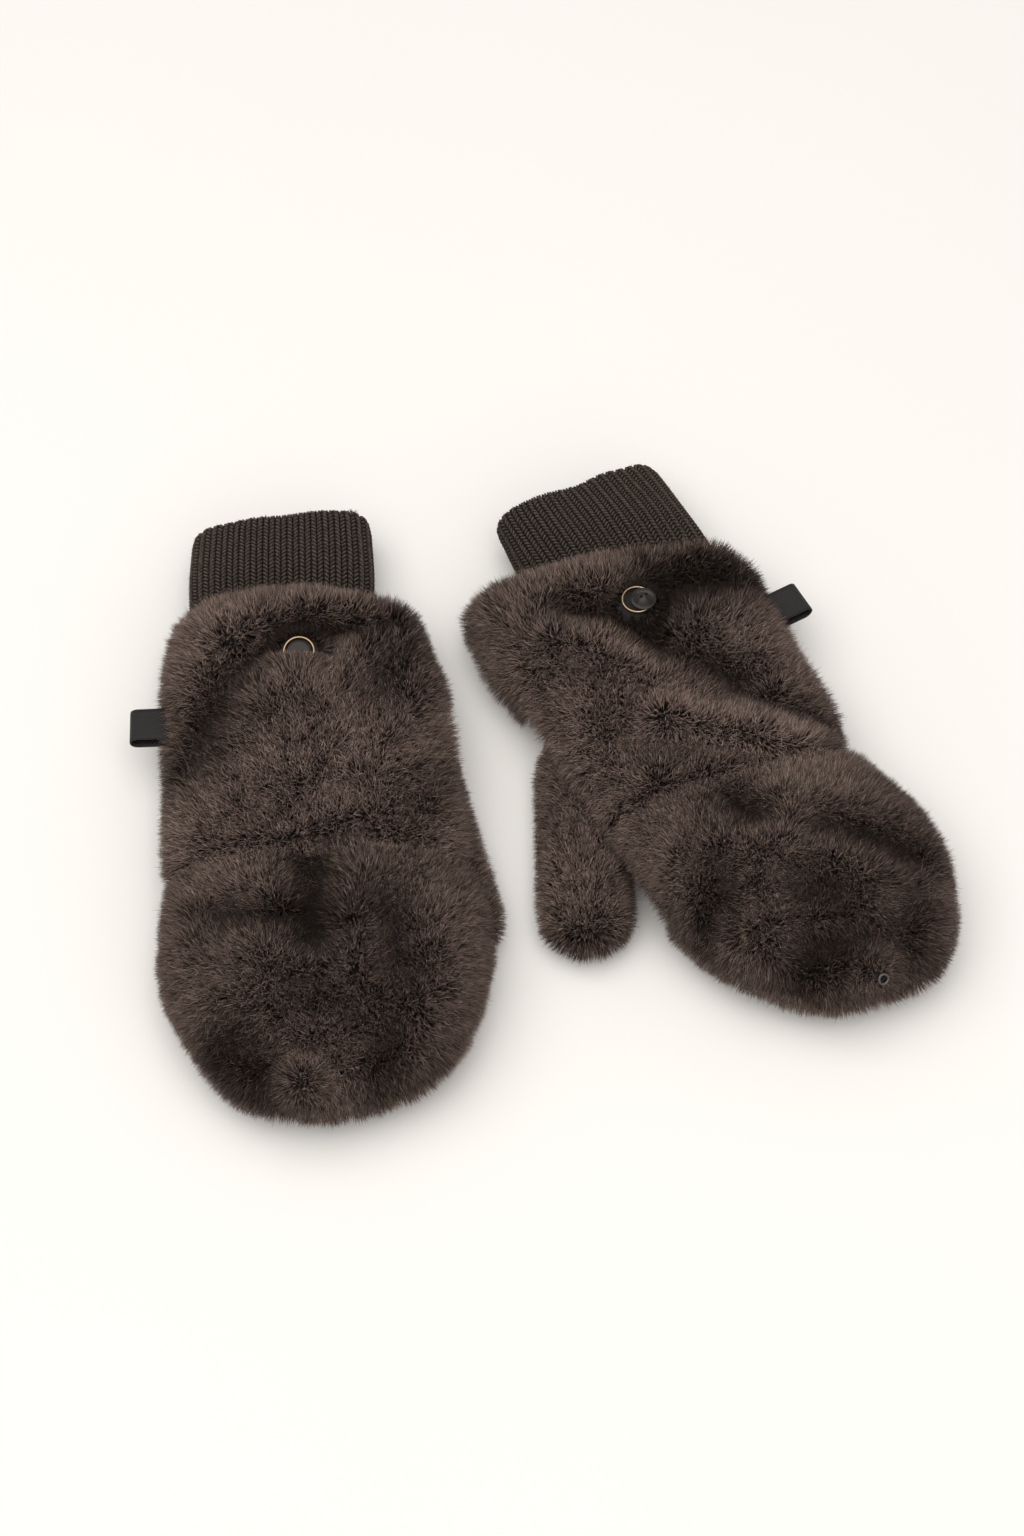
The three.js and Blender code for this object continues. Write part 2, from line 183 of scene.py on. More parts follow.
def fuller(value):
    """Pushes a sine outwards, so that an oval has fuller shoulders than an ellipse."""
    return np.sign(value) * np.abs(value) ** 0.8


def unit(vectors):
    return vectors / np.maximum(np.linalg.norm(vectors, axis=-1, keepdims=True), 1e-9)


def waves(points, wavelength, seed, count=7):
    """Smooth noise of about -1 to 1: a few sine waves that cross at random angles."""
    rng = np.random.default_rng(seed)
    total = np.zeros(points.shape[:-1])
    for _ in range(count):
        direction = unit(rng.normal(size=3)) * 2 * np.pi / (wavelength * rng.uniform(0.7, 1.5))
        total += np.sin(points @ direction + rng.uniform(0, 2 * np.pi))
    return total / math.sqrt(count)


def distance_to_line(x, y, line):
    """How far points are from a line of points, seen from above."""
    best = np.full(x.shape, np.inf)
    for (ax, ay), (bx, by) in zip(line, line[1:]):
        dx, dy = bx - ax, by - ay
        t = np.clip(((x - ax) * dx + (y - ay) * dy) / (dx * dx + dy * dy), 0, 1)
        best = np.minimum(best, np.hypot(x - ax - t * dx, y - ay - t * dy))
    return best


def dent_depth(x, y, dents):
    """How deep the dents press; where they overlap, the deeper one decides."""
    hollow, ridge = 0.0, 0.0
    for line, depth, radius in dents:
        part = depth * np.exp(-((distance_to_line(x, y, line) / radius) ** 2))
        hollow = hollow + np.maximum(part, 0) ** 3
        ridge = ridge + np.minimum(part, 0)
    return np.cbrt(hollow) + ridge


# ---------------------------------------------------------------- surfaces


class Patch:
    """A sheet of points, rows by columns, with its outward normals."""

    def __init__(self, grid, around=False, centre=None):
        self.grid = grid
        self.around = around
        if around:
            wrapped = np.concatenate([grid[:, -1:], grid, grid[:, :1]], axis=1)
            across = np.gradient(wrapped, axis=1)[:, 1:-1]
        else:
            across = np.gradient(grid, axis=1)
        normals = unit(np.cross(np.gradient(grid, axis=0), across))
        middle = grid.reshape(-1, 3).mean(0) if centre is None else np.array(centre, float)
        self.flip = float(np.sum(normals * (grid - middle))) < 0
        self.normals = -normals if self.flip else normals

    def quads(self, keep=None):
        rows, columns = self.grid.shape[:2]
        r, c = np.meshgrid(np.arange(rows - 1), np.arange(columns if self.around else columns - 1),
                           indexing="ij")
        r, c = r.ravel(), c.ravel()
        if keep is not None:
            kept = keep(self.grid[r, c])
            r, c = r[kept], c[kept]
        n = (c + 1) % columns
        quads = np.stack([r * columns + c, (r + 1) * columns + c, (r + 1) * columns + n,
                          r * columns + n], axis=1)
        return quads[:, ::-1] if self.flip else quads

    def sample(self, count, rng, density):
        """Random points over the patch, as positions and normals, with a given relative density."""
        grid, normals = self.grid, self.normals
        if self.around:
            grid = np.concatenate([grid, grid[:, :1]], axis=1)
            normals = np.concatenate([normals, normals[:, :1]], axis=1)
        centres = (grid[:-1, :-1] + grid[1:, 1:]) / 2
        area = np.linalg.norm(np.cross(grid[1:, 1:] - grid[:-1, :-1], grid[1:, :-1] - grid[:-1, 1:]),
                              axis=-1)
        weight = (area * density(centres, normals[:-1, :-1])).ravel()
        cells = rng.choice(weight.size, count, p=weight / weight.sum())
        r, c = np.unravel_index(cells, area.shape)
        s, t = rng.random((2, count, 1))

        def at(values):
            return ((values[r, c] * (1 - s) + values[r + 1, c] * s) * (1 - t)
                    + (values[r, c + 1] * (1 - s) + values[r + 1, c + 1] * s) * t)

        return at(grid), unit(at(normals))


def add_mesh(name, points, faces):
    mesh = bpy.data.meshes.new(name)
    faces = np.asarray(faces)
    corners = faces.shape[1]
    mesh.vertices.add(len(points))
    mesh.vertices.foreach_set("co", np.asarray(points, np.float32).ravel())
    mesh.loops.add(faces.size)
    mesh.loops.foreach_set("vertex_index", faces.astype(np.int32).ravel())
    mesh.polygons.add(len(faces))
    mesh.polygons.foreach_set("loop_start", np.arange(0, faces.size, corners, dtype=np.int32))
    mesh.polygons.foreach_set("use_smooth", np.ones(len(faces), bool))
    mesh.update(calc_edges=True)
    piece = bpy.data.objects.new(name, mesh)
    bpy.context.scene.collection.objects.link(piece)
    return piece


def mirrored_faces(mitten, faces):
    return faces if mitten.side > 0 else faces[:, ::-1]


def apply_modifiers(piece):
    view = bpy.context.evaluated_depsgraph_get()
    old = piece.data
    piece.data = bpy.data.meshes.new_from_object(piece.evaluated_get(view))
    piece.modifiers.clear()
    bpy.data.meshes.remove(old)


def thick_sheet(mitten, name, patch, thickness, keep=None):
    """A patch as a closed piece of cloth: its thickness goes inwards from the patch."""
    faces = mirrored_faces(mitten, patch.quads(keep))
    piece = add_mesh(name, mitten.to_world(patch.grid.reshape(-1, 3)), faces)
    solid = piece.modifiers.new("thickness", "SOLIDIFY")
    solid.thickness = thickness * 0.001
    solid.offset = -1
    solid.use_even_offset = False
    apply_modifiers(piece)
    return piece


def solid_ring(mitten, name, grid):
    """A closed tube of cloth or yarn: a grid whose rows and columns both join up."""
    rows, columns = grid.shape[:2]
    patch = Patch(np.concatenate([grid, grid[:1]]), around=True)
    faces = patch.quads() % (rows * columns)
    piece = add_mesh(name, mitten.to_world(grid.reshape(-1, 3)), mirrored_faces(mitten, faces))
    return piece


def lathe(mitten, name, profile, place, slope=0.0, segments=48, shape=None):
    """A piece turned from a closed profile of (radius, height) points, round an upright axis."""
    profile = np.array(profile, float)
    angles = np.linspace(0, 2 * np.pi, segments, endpoint=False)
    radius, height = profile[:, :1], profile[:, 1:]
    grid = np.stack([radius * np.cos(angles), radius * np.sin(angles),
                     height + 0 * angles], axis=-1)
    if shape is not None:
        grid = shape(grid)
    tilt = math.radians(slope)
    y, z = grid[..., 1].copy(), grid[..., 2].copy()
    grid[..., 1] = y * math.cos(tilt) - z * math.sin(tilt)
    grid[..., 2] = y * math.sin(tilt) + z * math.cos(tilt)
    grid += np.array(place, float)
    if radius.min() > 0:
        return solid_ring(mitten, name, grid)
    rows = len(profile)
    poles = grid[[0, -1], 0]
    rings = grid[1:-1]
    patch = Patch(rings, around=True)
    quads = patch.quads()
    points = np.concatenate([rings.reshape(-1, 3), poles])
    low, high = (rows - 2) * segments, (rows - 2) * segments + 1
    first = np.arange(segments)
    last = first + (rows - 3) * segments
    following = (first + 1) % segments
    fans = np.concatenate([
        np.stack([np.full(segments, low), first, following], axis=1),
        np.stack([np.full(segments, high), following + last[0], last], axis=1)])
    if patch.flip:
        fans = fans[:, ::-1]
    triangles = np.concatenate([quads[:, [0, 1, 2]], quads[:, [0, 2, 3]], fans])
    return add_mesh(name, mitten.to_world(points), mirrored_faces(mitten, triangles))


# ---------------------------------------------------------------- the shapes of a mitten


def oval(left, right, low, high, angles):
    """Points of an oval section: angle 0 is its left edge, 90 degrees its top."""
    x = (left + right) / 2 - (right - left) / 2 * fuller(np.cos(angles))
    z = (low + high) / 2 + (high - low) / 2 * fuller(np.sin(angles))
    return x, z


def thumb_distance(x, y):
    """How far a point is, seen from above, from the thumb wherever it swings."""
    rx, ry = THUMB["root"]
    best = np.full(np.shape(x), np.inf)
    for share in (0, 0.5, 1):
        angle = math.radians(THUMB_TUCKED + share * THUMB_TRAVEL)
        tip = (rx + THUMB["length"] * math.sin(angle), ry - THUMB["length"] * math.cos(angle))
        best = np.minimum(best, distance_to_line(x, y, [(rx, ry), tip]))
    return best


def lift_over_thumb(grid, height):
    """Raises the palm side where the thumb lies under it."""
    x, y, z = grid[..., 0], grid[..., 1], grid[..., 2]
    lifted = height * (1 - ramp(thumb_distance(x, y), 14.5, 21))
    grid[..., 2] = np.maximum(z, lifted)
    return grid


def seam_shift(mitten, x, y, reach=20):
    """How far the seam between hand and cap is moved along y, fading away from the seam."""
    edge = mitten.seam_slant * x - mitten.seam_arc * (x / mitten.half_width) ** 2
    return edge * np.exp(-(((y - 5) / reach) ** 2))


def soft_wobble(grid, normals, seed, amount=0.9):
    """The slight unevenness of a stuffed soft surface."""
    push = amount * waves(grid, 34, seed) + 0.5 * amount * waves(grid, 15, seed + 1)
    return grid + normals * push[..., None]


def hand_grid(mitten, y, angles, wall, under_wall):
    """The hand tube, drawn in by a wall: full width, then narrow under the cap and at the cuff."""
    y, angles = y[:, None], angles[None, :]
    corner_y = np.clip(y - (WRIST_END - WRIST_CORNER), 0, WRIST_CORNER)
    corner = WRIST_CORNER - np.sqrt(WRIST_CORNER**2 - corner_y**2)
    half = mitten.half_width + mitten.taper * y - corner - wall
    centre = mitten.lean * y
    left = centre - half + mitten.waist * np.exp(-(((y - 2) / 22) ** 2))
    right = centre + half + mitten.bulge * np.exp(-(((y - 58) / 24) ** 2))
    low = -3 + 0.3 * corner
    high = HAND_TOP - 0.6 * corner - wall

    narrow = mitten.half_width - UNDER_CAP["side"] - under_wall
    inside = 1 - ramp(y, 6, 13)
    left = mix(left, -narrow, inside)
    right = mix(right, narrow, inside)
    low = mix(low, UNDER_CAP["low"] + under_wall, inside)
    high = mix(high, UNDER_CAP["high"] - under_wall, inside)

    at_cuff = ramp(y, WRIST_END - 5, WRIST_END - 0.5)
    left = mix(left, mitten.cuff_centre - CUFF["half_width"] - 0.8, at_cuff)
    right = mix(right, mitten.cuff_centre + CUFF["half_width"] + 0.8, at_cuff)
    low = mix(low, CUFF["low"] - 0.6, at_cuff)
    high = mix(high, CUFF["high"] + 0.8, at_cuff)

    x, z = oval(left, right, low, high, angles)
    floor = np.minimum(PRESSED_PILE * wall / PILE + 0 * y, 4.5)
    z = np.maximum(z, floor)
    along = y + mitten.wrist_slant * x * ramp(y, 40, 112) + seam_shift(mitten, x, y)
    return np.stack([x, along + 0 * x, z], axis=-1)


def sculpt(grid, dents):
    """Presses the dents into the upper side, through all its layers."""
    x, y, z = grid[..., 0], grid[..., 1], grid[..., 2]
    upper = ramp(z, 22, 33)
    grid[..., 2] = z - dent_depth(x, y, dents) * upper
    return grid


def near_snap(points, radius):
    """1 at the snap, 0 beyond a radius of it, with a quick change between."""
    return np.exp(-((np.hypot(points[..., 0] - SNAP[0], points[..., 1] - SNAP[1]) / radius) ** 6))


def near_socket(points, radius):
    """The same for the socket, measured in all three directions."""
    return np.exp(-((np.linalg.norm(points - np.array(SOCKET), axis=-1) / radius) ** 4))


def raise_to_snap(mitten, grid, wall):
    """The skin stands up to the snap that is pressed through it, and may lap over its front."""
    y, z = grid[..., 1], grid[..., 2]
    near = near_snap(grid, 9 + mitten.snap_lap) * ramp(z, 6, 11)
    lap = mitten.snap_lap * (1 - ramp(y - SNAP[1], -4.5, 0))
    grid[..., 2] = mix(z, SNAP_HEIGHT + 1.6 + lap - (wall - PILE), near)
    return grid


def raise_to_socket(grid, wall):
    """The same round the socket in the sloping tip of the cap."""
    slope = math.radians(SOCKET_SLOPE)
    square = np.array([0, -math.sin(slope), math.cos(slope)])
    offset = grid - np.array(SOCKET)
    height = offset @ square
    beside = np.linalg.norm(offset - height[..., None] * square, axis=-1)
    near = np.exp(-((beside / 5.0) ** 4)) * ramp(height, -16, -9)
    return grid + (near * (-0.9 - (wall - PILE) - height))[..., None] * square


def cap_grid(mitten, rows, angles, wall):
    """The cap from its mouth to its tip: straight, then half an ellipse in plan."""
    straight = np.minimum(rows, 1.0)[:, None]
    turn = np.maximum(rows - 1.0, 0.0)[:, None] * math.pi / 2
    y = np.where(rows[:, None] <= 1, mix(CAP_MOUTH, CAP_CENTRE, straight),
                 CAP_CENTRE - (CAP_LENGTH - wall) * np.sin(turn))
    part = np.cos(turn)
    centre = mitten.cap_skew * np.minimum(y, 0)
    half = (mitten.half_width - wall) * part**CAP_ROUND
    middle = 14 + 8 * part
    tall = 26 * part**0.75
    mouth_drop = 3.4 * (1 - ramp(-y, -4, 26))
    low = middle - tall + wall * (middle - tall > -3) * 0.5
    high = middle + tall - mouth_drop - wall * mix(0.75, 1, part)
    right = centre + half + mitten.cap_bulge * part * ramp(-y, 0, 20)
    x, z = oval(centre - half, right, low, np.maximum(high, low + 1), angles[None, :])
    z = np.maximum(z, min(PRESSED_PILE * wall / PILE, 4.5))
    seam = (1 - z / HINGE_HEIGHT) * 2.5 * ramp(y, -10, CAP_MOUTH)
    along = y + seam + seam_shift(mitten, x, y, reach=24)
    return np.stack([x, along + 0 * x, z], axis=-1)


HAND_ROWS = np.concatenate([
    np.linspace(WRIST_END - 0.5, WRIST_END - 8, 9)[:-1],
    np.linspace(WRIST_END - 8, 15, 62)[:-1],
    np.linspace(15, 5, 12)[:-1],
    np.linspace(5, FINGER_END, 9)])
CAP_ROWS = np.concatenate([np.linspace(0, 1, 17)[:-1], np.linspace(1, 1.975, 44)])
OVER = np.linspace(0, math.pi, 74)  # from the left seam over the top to the right one
UNDER = np.linspace(math.pi, 2 * math.pi, 74)
AROUND = np.linspace(0, 2 * math.pi, 120, endpoint=False)


def thumb_clearance(wall):
    """The height over the ground that leaves room for the thumb, a little more under a thick wall."""
    return 19.5 + 0.1 * wall


def hand_patch(mitten, angles, wall=PILE, under_wall=2.0, rows=HAND_ROWS, around=False):
    grid = sculpt(hand_grid(mitten, rows, angles, wall, under_wall), mitten.hand_dents)
    grid = raise_to_snap(mitten, grid, wall)
    grid = lift_over_thumb(grid, thumb_clearance(wall))
    patch = Patch(grid, around, centre=(-5, 50, SEAM_HEIGHT))
    wobble = ramp(grid[..., 1], 8, 20) * ramp(grid[..., 2], 6, 12)
    moved = soft_wobble(grid, patch.normals, mitten.seed)
    return Patch(mix(grid, moved, wobble[..., None]), around, centre=(-5, 50, SEAM_HEIGHT))


def cap_patch(mitten, angles, wall=PILE, rows=CAP_ROWS, around=False):
    grid = sculpt(cap_grid(mitten, rows, angles, wall), mitten.cap_dents)
    grid = raise_to_socket(grid, wall)
    grid = lift_over_thumb(grid, thumb_clearance(wall))
    patch = Patch(grid, around, centre=(0, -35, SEAM_HEIGHT))
    wobble = ramp(-grid[..., 1], -2, 12) * ramp(grid[..., 2], 6, 12)
    moved = soft_wobble(grid, patch.normals, mitten.seed + 5)
    return Patch(mix(grid, moved, wobble[..., None]), around, centre=(0, -35, SEAM_HEIGHT))


def thumb_patch(mitten, angles, wall=THUMB_PILE, around=False):
    """The thumb as a flat bag along its own line, round at both ends."""
    root, tip = THUMB["root_radius"] - wall, THUMB["tip_radius"] - wall
    length = THUMB["length"]
    curl = np.linspace(0, 0.97, 16) * math.pi / 2
    share = np.linspace(0, 1, 26)[1:-1]
    along = np.concatenate([-root * np.sin(curl[::-1]), length * share, length + tip * np.sin(curl)])
    part = np.concatenate([np.cos(curl[::-1]), np.ones(share.size), np.cos(curl)])
    half = mix(root, tip, np.clip(along / length, 0, 1)) * part**0.8
    high = THUMB["height"] - wall
    low = min(wall, 4.0)
    tall = (high - low) / 2 * part**0.5
    middle = (high + low) / 2
    across, z = oval(-half[:, None], half[:, None], (middle - tall)[:, None],
                     (middle + tall)[:, None], angles[None, :])
    angle = math.radians(THUMB_TUCKED + mitten.thumb_swing)
    x = THUMB["root"][0] + along[:, None] * math.sin(angle) + across * math.cos(angle)
    y = THUMB["root"][1] - along[:, None] * math.cos(angle) + across * math.sin(angle)
    grid = np.stack([x, y, z], axis=-1)
    return Patch(grid, around)


# ---------------------------------------------------------------- materials


def material(name, color, roughness, **sockets):
    """A Principled material; each further value is set on the shader's own socket."""
    made = bpy.data.materials.new(name)
    made.use_nodes = True
    shader = made.node_tree.nodes["Principled BSDF"]
    shader.inputs["Base Color"].default_value = (*color, 1)
    shader.inputs["Roughness"].default_value = roughness
    for socket, value in sockets.items():
        shader.inputs[socket.replace("_", " ")].default_value = value
    return made


def node(made, kind, links=(), **values):
    """Adds a node; values set its properties or inputs, and links are (output, input name)."""
    added = made.node_tree.nodes.new(kind)
    for key, value in values.items():
        name = key.replace("_", " ")
        if name in added.inputs:
            added.inputs[name].default_value = value
        else:
            setattr(added, key, value)
    for output, name in links:
        made.node_tree.links.new(output, added.inputs[name])
    return added


def shade_from(made, factor, colors):
    """Drives the base colour from a factor through a ramp of (place, colour)."""
    ramp_node = node(made, "ShaderNodeValToRGB", [(factor, "Fac")])
    elements = ramp_node.color_ramp.elements
    while len(elements) < len(colors):
        elements.new(0.5)
    for element, (place, color) in zip(elements, colors):
        element.position = place
        element.color = (*color, 1)
    shader = made.node_tree.nodes["Principled BSDF"]
    made.node_tree.links.new(ramp_node.outputs["Color"], shader.inputs["Base Color"])


def bump_from(made, height, strength, distance):
    bump = node(made, "ShaderNodeBump", [(height, "Height")], Strength=strength, Distance=distance)
    shader = made.node_tree.nodes["Principled BSDF"]
    made.node_tree.links.new(bump.outputs["Normal"], shader.inputs["Normal"])


def object_noise(made, scale, detail=4.0):
    """Noise over the piece's own coordinates; scale is in bumps per metre."""
    place = node(made, "ShaderNodeTexCoord")
    noise = node(made, "ShaderNodeTexNoise", [(place.outputs["Object"], "Vector")],
                 Scale=scale, Detail=detail)
    return noise.outputs["Fac"]


def fur_material():
    """Hair: dark at the root, lighter at the tip, each hair with its own shade in the UV's u, which also
    carries the painted shade of the dents.
    """
    made = material("faux_fur", (0.03, 0.02, 0.017), 0.6)
    shader = made.node_tree.nodes["Principled BSDF"]
    shader.inputs["Specular IOR Level"].default_value = 0.15
    place = node(made, "ShaderNodeUVMap", uv_map="OFBake")
    split = node(made, "ShaderNodeSeparateXYZ", [(place.outputs["UV"], "Vector")])
    product = node(made, "ShaderNodeMath", [(split.outputs["X"], 0), (split.outputs["Y"], 1)],
                   operation="MULTIPLY")
    shade_from(made, product.outputs["Value"], [
        (0.0, (0.009, 0.006, 0.0045)), (0.22, (0.034, 0.023, 0.018)),
        (0.6, (0.25, 0.178, 0.148)), (1.0, (0.71, 0.565, 0.49))])
    return made


def skin_material():
    """The woven backing at the foot of the pile."""
    made = material("fur_backing", (0.012, 0.009, 0.008), 0.9)
    noise = object_noise(made, 900)
    shade_from(made, noise, [(0.3, (0.006, 0.004, 0.004)), (0.7, (0.02, 0.015, 0.013))])
    bump_from(made, noise, 0.4, 0.0005)
    return made


def fleece_material():
    made = material("fleece_lining", (0.016, 0.013, 0.012), 0.95, Specular_IOR_Level=0.1)
    noise = object_noise(made, 650, 6.0)
    shade_from(made, noise, [(0.35, (0.008, 0.006, 0.0055)), (0.7, (0.030, 0.024, 0.021))])
    bump_from(made, noise, 0.8, 0.001)
    return made


def knit_material():
    """Yarn with painted shade: near black in the grooves between stitches and lighter on the crown of each
    stitch, with the haze of its fibres.
    """
    made = material("rib_knit", (0.03, 0.028, 0.023), 0.9, Specular_IOR_Level=0.1)
    height = node(made, "ShaderNodeAttribute", attribute_name="stitch")
    noise = object_noise(made, 1600, 3.0)
    painted_groove_shade_and_fibre_haze = node(made, "ShaderNodeMath", [(height.outputs["Fac"], 0), (noise, 1)],
                 operation="MULTIPLY")
    # the stitch height paints shade into the grooves, times noise for the fibres' haze
    shade_from(made, painted_groove_shade_and_fibre_haze.outputs["Value"], [
        (0.0, (0.004, 0.003, 0.0025)), (0.2, (0.016, 0.013, 0.010)), (0.6, (0.120, 0.096, 0.078))])
    bump_from(made, noise, 0.5, 0.0003)
    return made


def tape_material(name, color, roughness):
    """Woven tape with fine ribs."""
    made = material(name, color, roughness, Specular_IOR_Level=0.2)
    place = node(made, "ShaderNodeTexCoord")
    weave = node(made, "ShaderNodeTexWave", [(place.outputs["Object"], "Vector")],
                 Scale=420.0, Distortion=1.5, wave_type="BANDS", bands_direction="DIAGONAL")
    light = tuple(1.9 * channel for channel in color)
    shade_from(made, weave.outputs["Fac"], [(0.2, color), (0.9, light)])
    bump_from(made, weave.outputs["Fac"], 0.4, 0.0003)
    return made


def metal_material(name, color, roughness, worn):
    made = material(name, color, roughness, Metallic=1.0)
    shade_from(made, object_noise(made, 700), [(0.35, color), (0.75, worn)])
    return made


def button_material():
    made = material("snap_cap", (0.016, 0.013, 0.011), 0.26, Specular_IOR_Level=0.3)
    shade_from(made, object_noise(made, 420), [(0.3, (0.009, 0.007, 0.006)), (0.75, (0.022, 0.018, 0.016))])
    return made


MATERIALS = {
    "faux_fur": fur_material(),
    "fur_backing": skin_material(),
    "fleece_lining": fleece_material(),
    "rib_knit": knit_material(),
    "binding_tape": tape_material("binding_tape", (0.016, 0.014, 0.013), 0.85),
    "ribbon": tape_material("ribbon", (0.014, 0.013, 0.013), 0.5),
    "snap_brass": metal_material("snap_brass", (0.50, 0.37, 0.23), 0.32, (0.34, 0.24, 0.15)),
    "snap_steel": metal_material("snap_steel", (0.16, 0.145, 0.13), 0.38, (0.09, 0.082, 0.075)),
    "snap_cap": button_material(),
}


def finish_piece(piece, mitten, body, slot, replaced=(), finish=None):
    """Gives a piece its material, named by finish or else by slot, ties it to its body and hides the CAD
    nodes that it stands for.
    """
    piece.data.materials.clear()
    piece.data.materials.append(MATERIALS[finish or slot])
    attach(piece, f"{mitten.name}_{body}")
    if replaced:
        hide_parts(*(f"{mitten.name}_{part}" for part in replaced))
    if body == "cap":
        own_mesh(piece)
    return piece


# ---------------------------------------------------------------- fur


def add_hairs(name, mitten, roots, rise, droop, length, width, shade):
    """Hairs as thin closed spindles: a root, a ring of three points at the bend, and a tip."""
    bend_at = 0.42
    middle = roots + rise * (length * bend_at)[:, None]
    tips = middle + unit(rise + droop) * (length * (1 - bend_at))[:, None]
    middle[:, 2] = np.maximum(middle[:, 2], GROUND + width)
    tips[:, 2] = np.maximum(tips[:, 2], GROUND)
    side = unit(np.cross(rise, np.array([0.31, 0.52, 0.8])))
    other = np.cross(rise, side)
    ring = [middle + (side * math.cos(a) + other * math.sin(a)) * (width / 2)[:, None]
            for a in (0, 2 * math.pi / 3, 4 * math.pi / 3)]
    points = np.stack([roots, *ring, tips], axis=1)
    pattern = np.array([[0, 2, 1], [0, 3, 2], [0, 1, 3], [4, 1, 2], [4, 2, 3], [4, 3, 1]])
    faces = (np.arange(len(roots))[:, None, None] * 5 + pattern).reshape(-1, 3)
    piece = add_mesh(name, mitten.to_world(points.reshape(-1, 3)), mirrored_faces(mitten, faces))
    u = shade[:, None] + np.array([0, -0.006, 0, 0.006, 0])
    v = np.broadcast_to([0.02, bend_at, bend_at, bend_at, 0.98], u.shape)
    corners = np.stack([u, v], axis=-1).reshape(-1, 2)
    corner_vertices = np.empty(len(piece.data.loops), np.int32)
    piece.data.loops.foreach_get("vertex_index", corner_vertices)
    layer = piece.data.uv_layers.new(name="OFBake")
    layer.uv.foreach_set("vector", corners[corner_vertices].astype(np.float32).ravel())
    return piece


def grow(name, mitten, patch, count, density, lay, length, shade, seed, width=0.38):
    """Fur over a patch. lay, length and shade are functions of the roots and their normals."""
    rng = np.random.default_rng(seed)
    roots, normals = patch.sample(count, rng, density)
    swirl = np.stack([waves(roots, 30, seed + k) for k in (1, 2, 3)], axis=-1)
    clump = np.stack([waves(roots, 5.0, seed + k) for k in (4, 5, 6)], axis=-1)
    loose = rng.normal(size=(count, 3))
    rise = unit(normals + 0.32 * lay(roots, normals) + 0.06 * swirl + 0.05 * clump + 0.11 * loose)
    droop = 0.16 * lay(roots, normals) + 0.06 * swirl + 0.06 * clump + 0.14 * loose
    lengths = length(roots, normals) * (0.86 + 0.16 * rng.random(count) + 0.05 * clump[:, 1])
    strays = rng.random(count) < 0.05
    lengths = np.where(strays, lengths * 1.12, lengths)
    # each hair's tone: smooth patches and a random spread, plus the shade function, which on the backs of
    # hand and cap adds painted shade in the dents
    shades = (0.6 + 0.06 * waves(roots, 40, seed + 7) + 0.02 * clump[:, 0]
              + 0.19 * rng.normal(size=count) + shade(roots, normals))
    return add_hairs(name, mitten, roots - 0.6 * normals, rise, droop, lengths,
                     width * rng.uniform(0.75, 1.2, count), np.clip(shades, 0.08, 0.98))


SNAP_CLEARING = 6.1  # no hair grows nearer to the middle of the snap
LAP_START = -1.2  # from here towards the fingers, fur laps over a covered snap
UPPER_SIDE = 15.0  # lower points lie on the palm side, under the snap


def away_from_snap(mitten, points):
    """1 over the fur, and 0 where the snap shows."""
    x, y = points[..., 0] - SNAP[0], points[..., 1] - SNAP[1]
    lapped = (mitten.snap_lap > 0) & (y < LAP_START)
    return (np.hypot(x, y) > SNAP_CLEARING) | lapped | (points[..., 2] < UPPER_SIDE)


def away_from_socket(mitten, points):
    """The same for the socket at the cap's tip."""
    distance = np.linalg.norm(points - np.array(SOCKET), axis=-1)
    return distance > mitten.socket_clearing


def facing_up(normals):
    """Hair stands densest where it is seen: 1 on top and at the sides, less below."""
    return 0.35 + 0.65 * ramp(normals[..., 2], -0.75, -0.2)


def hand_lay(mitten):
    """Towards the fingers, but outwards over the cuff at the wrist's edge."""
    def lay(points, normals):
        toward_fingers = mix(-0.6, 0.3, ramp(points[:, 1], 84, 112))
        outward = 0.15 * np.sign(points[:, 0]) * ramp(np.abs(points[:, 0]), 20, 50)
        before_snap = np.exp(-(((points[:, 0] - SNAP[0]) / 11) ** 2))
        before_snap = before_snap * np.exp(-(((points[:, 1] - SNAP[1] + 8) / 5.5) ** 2))
        toward_fingers = toward_fingers + mitten.snap_cover * before_snap
        return np.stack([outward, toward_fingers, 0 * outward], axis=-1)
    return lay


def cap_lay(mitten):
    """Outwards from the middle of the cap, and back over the seam at its mouth."""
    def lay(points, normals):
        toward_tip = mix(0.15, -0.5, ramp(-points[:, 1], 0, 30))
        outward = 0.3 * points[:, 0] / mitten.half_width
        return np.stack([outward, toward_tip, 0 * outward], axis=-1)
    return lay


def hand_hair_length(points, normals):
    """Short where the hand lies on the ground or thumb, under the cap and round the snap."""
    pressed = 1 - ramp(normals[:, 2], -0.8, -0.3)
    under_cap = 1 - ramp(points[:, 1], 1, 7)
    over_thumb = (1 - ramp(thumb_distance(points[:, 0], points[:, 1]), 16, 22)) * pressed
    length = mix(HAIR, 6.0, pressed)
    length = mix(length, 2.4, under_cap)
    length = mix(length, 2.0, over_thumb)
    at_snap = near_snap(points, 9.5) * (points[:, 2] > 14)
    before = 1 - ramp(points[:, 1], SNAP[1] - 9, SNAP[1] - 1)
    return mix(length, mix(3.0, 7.5, before), at_snap)


def cap_hair_length(mitten):
    """Short on the ground or thumb, at the mouth and round the socket."""
    def length(points, normals):
        pressed = 1 - ramp(normals[:, 2], -0.8, -0.3)
        over_thumb = (1 - ramp(thumb_distance(points[:, 0], points[:, 1]), 16, 22)) * pressed
        at_mouth = 1 - ramp(-points[:, 1], -4, 14)
        hair = mix(mix(mix(HAIR, 8.0, at_mouth), 6.0, pressed), 2.0, over_thumb)
        return mix(hair, mitten.hair_at_socket, near_socket(points, 7.5))
    return length


